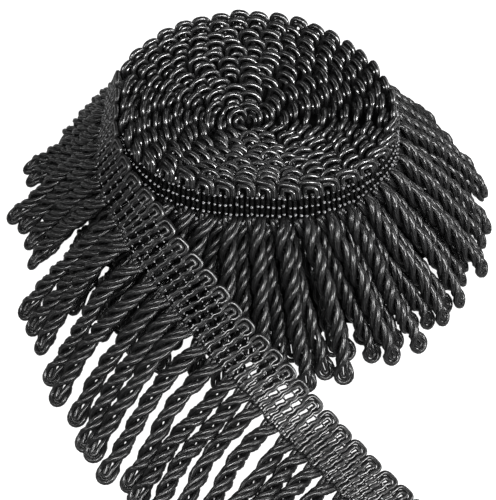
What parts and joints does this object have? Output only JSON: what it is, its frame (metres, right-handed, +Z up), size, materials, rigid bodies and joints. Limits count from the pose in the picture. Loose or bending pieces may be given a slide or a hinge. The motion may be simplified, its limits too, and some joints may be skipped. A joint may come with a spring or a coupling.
{
  "type": "bullion fringe trim",
  "caption": "Woven trim wound heading up on its skirt of twisted looped cords, with a loose tail laid out on the surface.",
  "frame": {"origin": "centre of the wound roll on the surface it stands on", "axes": "+Z up out of the roll's wound face, -Y towards the viewer of the picture and the tail's end, +X to the right of the roll"},
  "size_m": [0.2517, 0.3567, 0.08],
  "materials": {
    "roll_yarn": "black twisted rayon yarn, soft sheen",
    "heading_yarn": "black woven gimp with chain stitches, soft sheen",
    "cord_yarn": "black bullion cord, soft sheen"
  },
  "bodies": {
    "root": {"roll": "roll_yarn", "roll_fringe_outer": "cord_yarn", "roll_fringe_inner": "cord_yarn", "tail_heading": "heading_yarn", "tail_fringe": "cord_yarn"}
  },
  "joints": []
}
